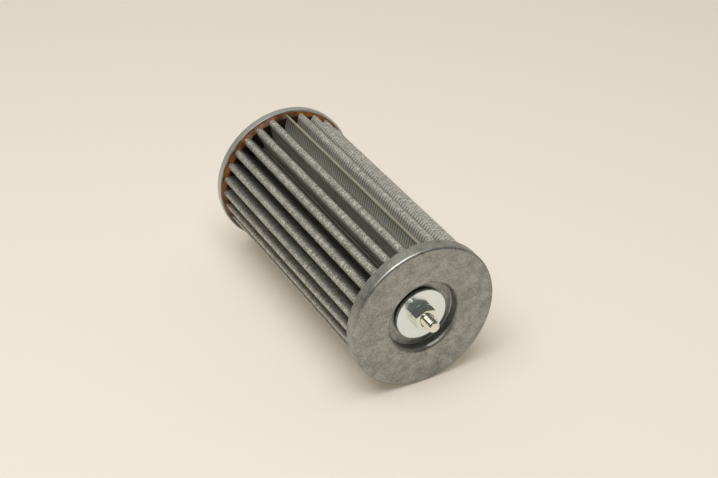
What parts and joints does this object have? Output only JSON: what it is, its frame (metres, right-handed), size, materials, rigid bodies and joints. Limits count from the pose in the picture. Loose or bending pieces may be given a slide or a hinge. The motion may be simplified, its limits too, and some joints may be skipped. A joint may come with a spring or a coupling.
{
  "type": "hydraulic suction strainer",
  "caption": "Cylindrical suction strainer: pleated woven-wire mesh potted between two pressed steel caps, clamped by a central tie rod, with a threaded outlet in the far cap.",
  "frame": {"origin": "centre of the outlet cap's outer face, which the strainer stands on", "axes": "+Z along the axis from the outlet cap to the nut end; the seam pleat faces about -Y"},
  "size_m": [0.072, 0.072, 0.1506],
  "materials": {
    "zinc_sheet": "dull zinc-plated pressed sheet, mottled grey",
    "bright_zinc": "bright zinc plating",
    "wire_mesh": "woven steel wire, satin grey",
    "seam_steel": "thin smooth strip with a tan tint",
    "amber_resin": "cast amber resin, glossy and uneven",
    "red_fibre": "vulcanised fibre",
    "black_rubber": "matte nitrile"
  },
  "bodies": {
    "root": {"nut_end_cap": "zinc_sheet", "outlet_end_cap": "zinc_sheet", "pleated_mesh": "wire_mesh", "seam_clip": "seam_steel", "nut_end_potting": "amber_resin", "outlet_end_potting": "amber_resin", "core_tube": "zinc_sheet", "tie_rod": "bright_zinc", "rod_washer": "bright_zinc", "rod_nut": "bright_zinc", "rod_seal": "red_fibre", "outlet_bush": "bright_zinc", "outlet_gasket": "black_rubber", "rod_spider": "bright_zinc", "anchor_nut": "bright_zinc"}
  },
  "joints": []
}
